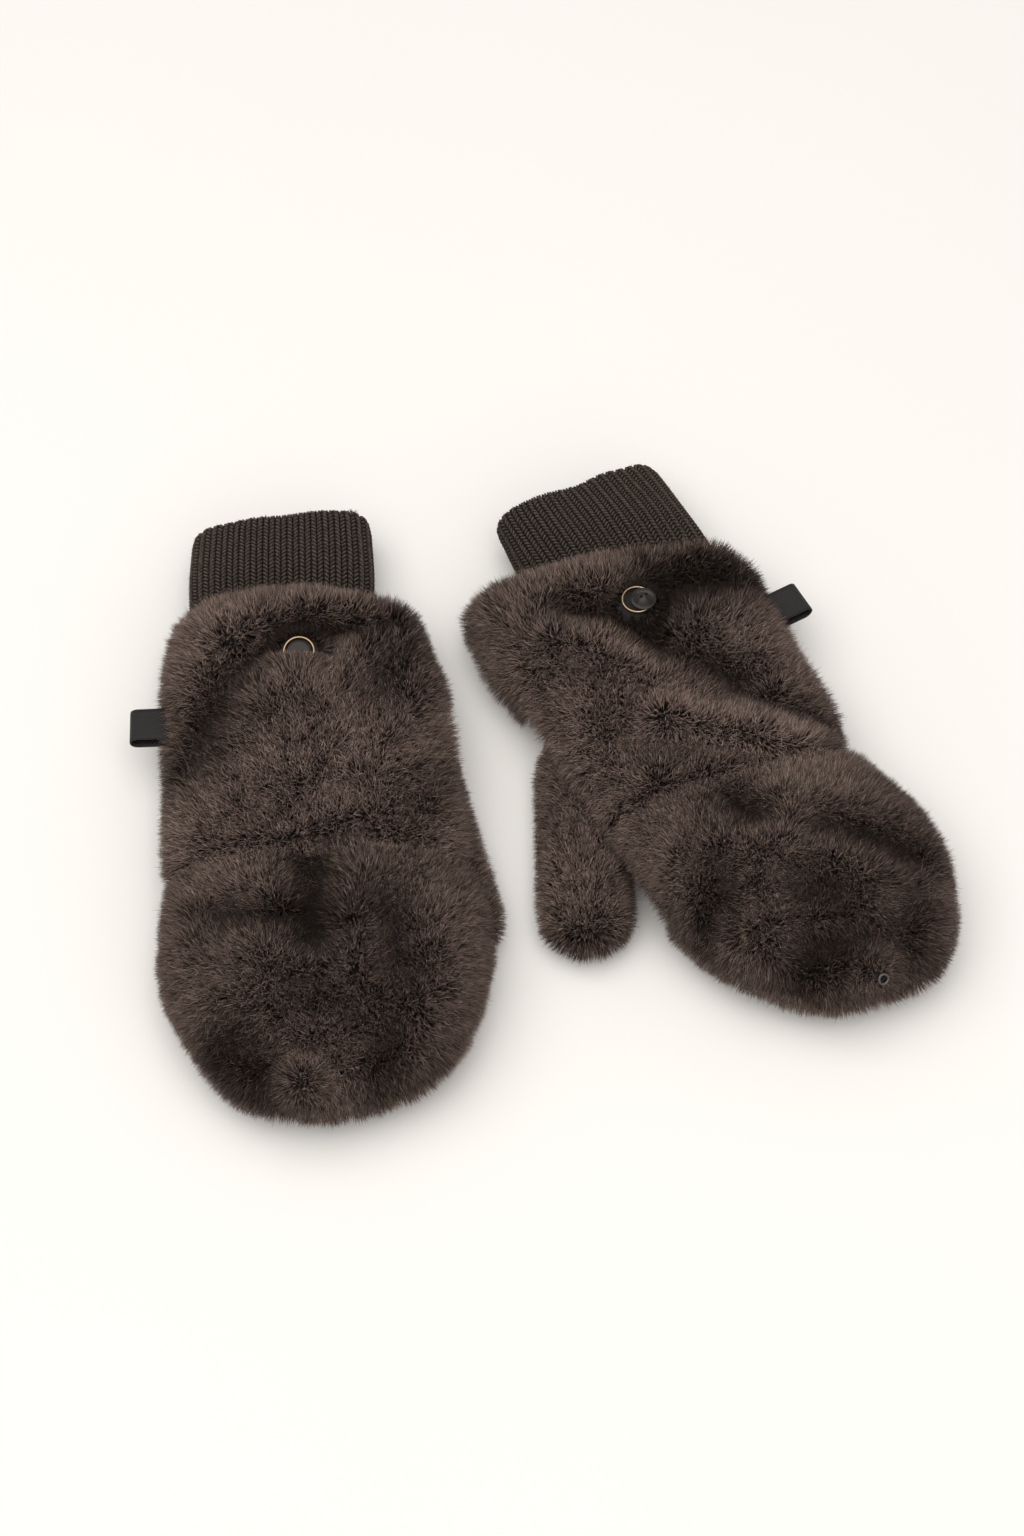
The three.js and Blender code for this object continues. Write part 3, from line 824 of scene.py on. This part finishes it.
def painted_dent_shade(dents, darker=0.0):
    """Painted shade: fur pressed into the dents is coloured darker, as its dark depth would look, and fur on
    raised ridges a little lighter, a painted highlight.
    """
    def shade(points, normals):
        depth = dent_depth(points[:, 0], points[:, 1], dents)
        # painted shade in the hollows of the upper side, and a painted highlight on the ridges
        hollow = -0.072 * np.clip(depth, 0, 8) * ramp(points[:, 2], 8, 20)
        return hollow + 0.03 * np.clip(-depth, 0, 3) - darker
    return shade


def no_shade(points, normals):
    return 0.0


FULL_COAT = 33000  # hairs that one piece may hold
TAPE_NAP = 12000  # short hairs on the tape at the cap's seam
TAPE_NAP_LENGTH = 1.5
FUR_SHARE = 1.0


def fur_count(count):
    return int(count * FUR_SHARE)


def hand_fur(mitten, over, under):
    def density(points, normals):
        return facing_up(normals) * away_from_snap(mitten, points)

    for layer, (seed, longer) in enumerate([(1, 1.0), (2, 0.93)], start=1):
        piece = grow(f"{mitten.name}_back_fur_{layer}", mitten, over, fur_count(FULL_COAT), density,
                     hand_lay(mitten), lambda p, n, k=longer: k * hand_hair_length(p, n),
                     painted_dent_shade(mitten.hand_dents), mitten.seed * 100 + seed * 10)
        finish_piece(piece, mitten, "hand", "faux_fur", ["back_shell"])
    piece = grow(f"{mitten.name}_palm_fur", mitten, under, fur_count(0.85 * FULL_COAT), density,
                 hand_lay(mitten), hand_hair_length, no_shade, mitten.seed * 100 + 30)
    finish_piece(piece, mitten, "hand", "faux_fur", ["palm_shell"])


def cap_fur(mitten, over, under):
    def density(points, normals):
        return facing_up(normals) * away_from_socket(mitten, points)

    for layer, (seed, longer) in enumerate([(1, 1.0), (2, 0.93)], start=1):
        piece = grow(f"{mitten.name}_cap_fur_{layer}", mitten, over, fur_count(FULL_COAT), density,
                     cap_lay(mitten), lambda p, n, k=longer: k * cap_hair_length(mitten)(p, n),
                     painted_dent_shade(mitten.cap_dents, 0.09), mitten.seed * 100 + 40 + seed * 10)
        finish_piece(piece, mitten, "cap", "faux_fur", ["cap_back_shell"])
    piece = grow(f"{mitten.name}_cap_palm_fur", mitten, under, fur_count(FULL_COAT), density,
                 cap_lay(mitten), cap_hair_length(mitten), no_shade, mitten.seed * 100 + 70)
    finish_piece(piece, mitten, "cap", "faux_fur", ["cap_palm_shell"])


def thumb_fur(mitten, patch):
    angle = math.radians(THUMB_TUCKED + mitten.thumb_swing)

    def lay(points, normals):
        return np.broadcast_to([0.4 * math.sin(angle), -0.4 * math.cos(angle), 0.0], points.shape)

    def length(points, normals):
        hidden = 1 - ramp(-(points[:, 1] - THUMB["root"][1]), -4, 12)
        pressed = 1 - ramp(normals[:, 2], -0.8, -0.3)
        return mix(mix(8.5, 4.0, pressed), 2.5, hidden)

    piece = grow(f"{mitten.name}_thumb_fur", mitten, patch, fur_count(0.8 * FULL_COAT),
                 lambda p, n: facing_up(n), lay, length, lambda p, n: -0.05, mitten.seed * 100 + 90)
    finish_piece(piece, mitten, "thumb", "faux_fur", ["thumb_shell"])


# ---------------------------------------------------------------- skins and linings


def hand_skins(mitten):
    over, under = hand_patch(mitten, OVER), hand_patch(mitten, UNDER)
    for name, patch, part in [("back_skin", over, "back_shell"), ("palm_skin", under, "palm_shell")]:
        piece = thick_sheet(mitten, f"{mitten.name}_{name}", patch, SKIN)
        finish_piece(piece, mitten, "hand", "faux_fur", [part], "fur_backing")
    hand_fur(mitten, over, under)


def cap_skins(mitten):
    over, under = cap_patch(mitten, OVER), cap_patch(mitten, UNDER)
    for name, patch, part in [("cap_back_skin", over, "cap_back_shell"),
                              ("cap_palm_skin", under, "cap_palm_shell")]:
        piece = thick_sheet(mitten, f"{mitten.name}_{name}", patch, SKIN)
        finish_piece(piece, mitten, "cap", "faux_fur", [part], "fur_backing")
    cap_fur(mitten, over, under)


def thumb_skin(mitten):
    patch = thumb_patch(mitten, AROUND, around=True)
    root = np.array(THUMB["root"])

    def beside_mouth(points):
        return (np.linalg.norm(points[:, :2] - root, axis=1) > 5) | (points[:, 2] < 9)

    piece = thick_sheet(mitten, f"{mitten.name}_thumb_skin", patch, SKIN, keep=beside_mouth)
    finish_piece(piece, mitten, "thumb", "faux_fur", ["thumb_shell"], "fur_backing")
    lining = thumb_patch(mitten, AROUND, wall=THUMB_PILE + 2.0, around=True)
    piece = thick_sheet(mitten, f"{mitten.name}_thumb_fleece", lining, 1.0, keep=beside_mouth)
    finish_piece(piece, mitten, "thumb", "fleece_lining", ["thumb_lining"])
    thumb_fur(mitten, patch)


def linings(mitten):
    rows = np.linspace(WRIST_END - 12, FINGER_END + 0.5, 60)
    hand = hand_patch(mitten, AROUND, wall=PILE + 2.2, under_wall=4.0, rows=rows, around=True)
    piece = thick_sheet(mitten, f"{mitten.name}_hand_fleece", hand, 1.5)
    finish_piece(piece, mitten, "hand", "fleece_lining", ["hand_lining"])
    rows = np.concatenate([np.linspace(0.06, 1, 14)[:-1], np.linspace(1, 1.96, 34)])
    cap = cap_patch(mitten, AROUND, wall=PILE + 2.2, rows=rows, around=True)
    piece = thick_sheet(mitten, f"{mitten.name}_cap_fleece", cap, 1.5)
    finish_piece(piece, mitten, "cap", "fleece_lining", ["cap_lining"])


# ---------------------------------------------------------------- bindings


def rolled_edge(x, z, y, width, thickness):
    """A tape folded round an edge: an oval tube along the points x, z at a place y."""
    turn = np.linspace(0, 2 * np.pi, 20, endpoint=False)[:, None]
    outwards = unit(np.stack([np.gradient(z), -np.gradient(x)], axis=-1))
    rib = 1 + 0.05 * np.sin(np.arange(len(x)) * 2.1)
    reach = thickness / 2 * np.cos(turn) * rib
    return np.stack([x + outwards[:, 0] * reach, y + width / 2 * np.sin(turn) + 0 * x,
                     z + outwards[:, 1] * reach], axis=-1)


def finger_opening_binding(mitten):
    angles = np.linspace(0, 2 * np.pi, 240, endpoint=False)
    rows = np.array([FINGER_END + 0.5, FINGER_END])
    grid = lift_over_thumb(hand_grid(mitten, rows, angles, PILE, 3.4), thumb_clearance(PILE))
    grid = rolled_edge(grid[1, :, 0], grid[1, :, 2], FINGER_END - 0.8, 3.6, 3.0)
    piece = solid_ring(mitten, f"{mitten.name}_finger_binding", grid)
    finish_piece(piece, mitten, "hand", "binding_tape", ["finger_opening_binding"])


def cap_mouth_binding(mitten):
    """The bound edge across the palm side of the cap's mouth."""
    angles = np.linspace(math.radians(222), math.radians(338), 150)
    rows = np.linspace(0, 0.12, 8)
    patch = cap_patch(mitten, angles, wall=PILE + 0.2, rows=rows)
    piece = thick_sheet(mitten, f"{mitten.name}_cap_binding", patch, 2.4)
    finish_piece(piece, mitten, "cap", "binding_tape", ["cap_mouth_binding"])


def hinge_tape(mitten):
    """The strip that joins the hand to the cap along the seam."""
    reach = mitten.half_width - 22
    x = np.linspace(-reach, reach, 60)
    turn = np.linspace(0, 1, 26)[:, None]
    shift = seam_shift(mitten, x, 5.0)
    y = mix(8.5 + np.maximum(shift, 0), 1 + np.minimum(shift, 0), turn)
    z = 33.8 + 1.8 * turn - 1.6 * np.sin(np.pi * turn) - 3 * (x / reach) ** 4
    grid = np.stack([x + 0 * turn, y, z], axis=-1)
    patch = Patch(grid, centre=(0, 0, 0))
    tape = thick_sheet(mitten, f"{mitten.name}_hinge_tape", patch, 0.8)
    nap = grow(f"{mitten.name}_hinge_tape_nap", mitten, patch, fur_count(TAPE_NAP),
               lambda p, n: 1 + 0 * n[..., 0], lambda p, n: 0 * p, lambda p, n: TAPE_NAP_LENGTH + 0 * p[:, 0],
               no_shade, mitten.seed * 100 + 97, width=0.3)
    start, end = mitten.to_world([(0, 8, 35), (0, 1, 35)])
    for piece in (tape, nap):
        piece.data.materials.append(MATERIALS["fleece_lining"])
        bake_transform(piece)
        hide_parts(f"{mitten.name}_cap_hinge_tape")


# ---------------------------------------------------------------- the knitted cuff

STITCHES = 34
STITCH_ROWS = 31
STITCH_HEIGHT = 1.5
STITCH_POINTS = 16  # across each stitch


def stitch_height(column, row):
    """Stockinette: each stitch is a V of two slanting legs, 0 in the grooves and 1 on the yarn."""
    across = column - np.floor(column) - 0.5
    leg = (np.abs(across) - 0.25) / 0.25
    thick = np.clip(1 - leg**2, 0, 1) ** 0.35
    rise = row - 2.0 * np.abs(across)
    along = np.abs(np.sin(np.pi * rise)) ** 0.9
    return thick * along


def even_angles(columns):
    """Angles whose points lie evenly spaced round the cuff's oval."""
    dense = np.linspace(0, 2 * np.pi, 4001)
    x, z = oval(-CUFF["half_width"], CUFF["half_width"], CUFF["low"], CUFF["high"], dense)
    walked = np.concatenate([[0], np.cumsum(np.hypot(np.diff(x), np.diff(z)))])
    return np.interp(np.linspace(0, walked[-1], columns, endpoint=False), walked, dense)


def knit_cuff(mitten):
    """A knitted tube with a folded edge: it goes up outside, over the fold and down inside."""
    columns = STITCHES * STITCH_POINTS
    outside, fold, inside = 150, 14, 14
    length = CUFF["end"] - CUFF["start"]
    along = np.concatenate([np.linspace(0, 1, outside, endpoint=False), np.ones(fold),
                            np.linspace(1, 0.02, inside)])
    turn = np.concatenate([np.zeros(outside), np.linspace(0, 1, fold), np.ones(inside)])
    rows = np.concatenate([np.linspace(0, STITCH_ROWS, outside, endpoint=False),
                           STITCH_ROWS + np.linspace(0, 1.6, fold, endpoint=False),
                           STITCH_ROWS + 1.6 + np.linspace(0, 8, inside)])
    wall = 3.0
    inward = wall / 2 * (1 - np.cos(np.pi * turn))
    over = wall / 2 * np.sin(np.pi * turn)
    y = (CUFF["start"] + length * along - wall / 2 + over)[:, None]
    angles = even_angles(columns)[None, :]
    round_off = 2.2 * ramp(y, CUFF["end"] - 5, CUFF["end"])
    flare = 0.9 * np.sin(np.pi * along)[:, None]
    inset = inward[:, None] + 0.35 * round_off - flare
    half = CUFF["half_width"] - inset
    x, z = oval(mitten.cuff_centre - half, mitten.cuff_centre + half,
                CUFF["low"] + inset, CUFF["high"] - inset - 1.5 * ramp(y, 130, 160), angles)
    lift = ramp(y, CUFF["start"] + 10, CUFF["end"])
    off_centre = (x - mitten.cuff_centre) / CUFF["half_width"]
    y = y + lift * (mitten.cuff_more + mitten.cuff_slant * (x - mitten.cuff_centre))
    y = y - lift * (mitten.cuff_dip * (1 - off_centre**2) + 4.0 * off_centre**8)
    grid = np.stack([x, y, z], axis=-1)
    patch = Patch(grid, around=True, centre=(mitten.cuff_centre, 135, 16))
    column = np.arange(columns)[None, :] / STITCH_POINTS + 0 * rows[:, None]
    height = stitch_height(column, rows[:, None])
    normals = patch.normals
    uneven = 0.5 * waves(grid, 22, mitten.seed + 3)
    grid = grid + normals * (height * STITCH_HEIGHT - 0.6 + uneven)[..., None]
    piece = solid_ring(mitten, f"{mitten.name}_cuff_knit", grid)
    # the stitch height is also the mask of the knit's painted shade in the grooves
    layer = piece.data.attributes.new("stitch", "FLOAT", "POINT")
    layer.data.foreach_set("value", height.astype(np.float32).ravel())
    finish_piece(piece, mitten, "hand", "rib_knit", ["knit_cuff"])
    cuff_fuzz(mitten, Patch(grid[:outside + fold], around=True, centre=(mitten.cuff_centre, 135, 16)))


def cuff_fuzz(mitten, patch):
    """Loose fibres that stand off the yarn, with a tuft at the corner by the thumb."""
    corner = patch.grid[-1, patch.grid.shape[1] * 45 // 100]

    def tuft(points):
        return np.exp(-((np.linalg.norm(points - corner, axis=-1) / 1.6) ** 2))

    piece = grow(f"{mitten.name}_cuff_fuzz", mitten, patch, fur_count(5000),
                 lambda p, n: 1 + 40 * mitten.loose_yarn * tuft(p), lambda p, n: 0 * p,
                 lambda p, n: 1.7 + 2.6 * mitten.loose_yarn * tuft(p), no_shade,
                 mitten.seed * 100 + 95, width=0.16)
    layer = piece.data.attributes.new("stitch", "FLOAT", "POINT")
    layer.data.foreach_set("value", np.full(len(piece.data.vertices), 0.8, np.float32))
    finish_piece(piece, mitten, "hand", "rib_knit", ["knit_cuff"])


# ---------------------------------------------------------------- ribbon and snaps


def ribbon_loop(mitten):
    """A folded grosgrain ribbon caught in the side seam, ribbed across its width."""
    inner = RIBBON["gap"] / 2 + RIBBON["thickness"] / 2
    straight = RIBBON["hidden"] + RIBBON["reach"] - inner - RIBBON["thickness"] / 2
    fold = math.pi * inner
    total = 2 * straight + fold
    place = np.linspace(0, total, 200)
    turn = np.clip((place - straight) / inner, 0, math.pi)
    out = np.where(place < straight, place, straight) - np.maximum(place - straight - fold, 0)
    x = -(out + inner * np.sin(turn) * (turn > 0))
    z = -inner * np.cos(turn)
    across = np.linspace(-0.5, 0.5, 9)
    rib = 0.05 * np.sin(place * 2 * np.pi / 0.75)
    normal = np.stack([-np.sin(turn), -np.cos(turn)], axis=-1)
    x, z = x + rib * normal[:, 0], z + rib * normal[:, 1]
    edge = mitten.lean * RIBBON["along"] - (mitten.half_width + mitten.taper * RIBBON["along"])
    seam = edge - 0.9 + RIBBON["hidden"]
    grid = np.stack([seam + x[:, None] + 0 * across, RIBBON["along"] + RIBBON["width"] * across
                     + 0 * x[:, None], SEAM_HEIGHT + z[:, None] + 0 * across], axis=-1)
    patch = Patch(grid, centre=(seam - straight / 2, RIBBON["along"], SEAM_HEIGHT))
    piece = thick_sheet(mitten, f"{mitten.name}_ribbon", patch, 0.55)
    finish_piece(piece, mitten, "ribbon", "ribbon", ["ribbon_loop"])


def rounded(low_radius, high_radius, low, high, steps=8):
    """A rounded ring section, as a closed profile of (radius, height)."""
    turn = np.linspace(0, 2 * np.pi, 4 * steps, endpoint=False)
    radius = (low_radius + high_radius) / 2 + (high_radius - low_radius) / 2 * fuller(np.cos(turn))
    height = (low + high) / 2 + (high - low) / 2 * fuller(np.sin(turn))
    return list(zip(radius, height))


def button_profile(dome):
    edge = [(4.85 * math.cos(a), 2.1 + 0.5 * math.sin(a)) for a in np.linspace(0, 0.6, 5)]
    crown = [(3.95 * (1 - t), 2.42 + 1.1 * dome * math.sin(t * math.pi / 2)) for t in np.linspace(0, 1, 26)]
    return [(0, -1.2), (1.3, -1.2), (1.3, 1.55), (4.7, 1.6), *edge, *crown]


def two_holes(grid):
    """Presses the two sewing holes of a button into its face."""
    x, y, z = grid[..., 0], grid[..., 1], grid[..., 2]
    for place in (-1.15, 1.15):
        deep = 1 - ramp(np.hypot(x - place, y), 0.42, 0.66)
        grid[..., 2] = z - 1.1 * deep * (z > 2.5)
        z = grid[..., 2]
    return grid


def snaps(mitten):
    seat = (*SNAP, SNAP_HEIGHT)
    button = tuple(np.add(seat, mitten.button_shift))
    pieces = [
        ("snap_ring_rim", rounded(5.15, 6.0, 1.6, 3.3), seat, mitten.snap_slope, "hand",
         "snap_brass", "snap_ring", None),
        ("snap_dome", button_profile(mitten.button_dome), button, mitten.snap_slope, "hand",
         "snap_cap", "snap_button", two_holes),
        ("snap_plate", rounded(1.9, 5.6, -2.9, -1.9), seat, 0, "hand", "snap_steel",
         "snap_backplate", None),
        ("socket_rim", rounded(1.3, 2.3, -0.9, 0.5), SOCKET, SOCKET_SLOPE, "cap", "snap_steel",
         "cap_socket", None),
        ("socket_back", rounded(1.6, 4.5, -5.6, -4.6), SOCKET, SOCKET_SLOPE, "cap", "snap_steel",
         "cap_socket_washer", None),
    ]
    for name, profile, place, slope, body, slot, part, shape in pieces:
        piece = lathe(mitten, f"{mitten.name}_{name}", profile, place, slope, 96, shape)
        finish_piece(piece, mitten, body, slot, [part])


# ---------------------------------------------------------------- the pair

for mitten in MITTENS:
    hand_skins(mitten)
    cap_skins(mitten)
    thumb_skin(mitten)
    linings(mitten)
    finger_opening_binding(mitten)
    cap_mouth_binding(mitten)
    hinge_tape(mitten)
    knit_cuff(mitten)
    ribbon_loop(mitten)
    snaps(mitten)

# ---------------------------------------------------------------- floor, light and camera


def floor():
    made = material("floor", (0.88, 0.865, 0.84), 0.8, Specular_IOR_Level=0.1)
    shade_from(made, object_noise(made, 3), [(0.3, (0.872, 0.850, 0.822)), (0.7, (0.882, 0.861, 0.834))])
    bpy.ops.mesh.primitive_plane_add(size=12, location=(0, 0, 0))
    plane = bpy.context.object
    plane.name = "floor"
    plane.data.materials.append(made)


def area_light(name, place, size, power, color=(1, 1, 1)):
    data = bpy.data.lights.new(name, "AREA")
    data.energy = power
    data.size = size
    data.color = color
    light = bpy.data.objects.new(name, data)
    light.location = place
    bpy.context.scene.collection.objects.link(light)
    direction = -light.location.normalized()
    light.rotation_euler = direction.to_track_quat("-Z", "Y").to_euler()


def studio():
    world = bpy.data.worlds.new("studio")
    world.use_nodes = True
    background = world.node_tree.nodes["Background"]
    background.inputs["Color"].default_value = (1.0, 0.985, 0.965, 1)
    background.inputs["Strength"].default_value = 0.5
    bpy.context.scene.world = world
    area_light("key", (-0.4, -0.05, 1.7), 2.2, 25, (1.0, 0.98, 0.955))
    area_light("fill", (0.4, -1.0, 1.35), 2.0, 8.5, (1.0, 0.98, 0.955))
    bpy.context.scene.view_settings.view_transform = "Standard"


def camera():
    """Looks down at the pair from the fingertips' side, 60 degrees above the floor."""
    elevation = math.radians(60)
    distance = 1.12
    target = np.array([-0.00864, 0.00933, 0.0])
    data = bpy.data.cameras.new("camera")
    data.sensor_fit = "VERTICAL"
    data.sensor_height = 36
    data.lens = 69.1
    view = bpy.data.objects.new("camera", data)
    view.location = target + distance * np.array([0, -math.cos(elevation), math.sin(elevation)])
    view.rotation_euler = (math.pi / 2 - elevation, 0, 0)
    bpy.context.scene.collection.objects.link(view)
    bpy.context.scene.camera = view


floor()
studio()
camera()
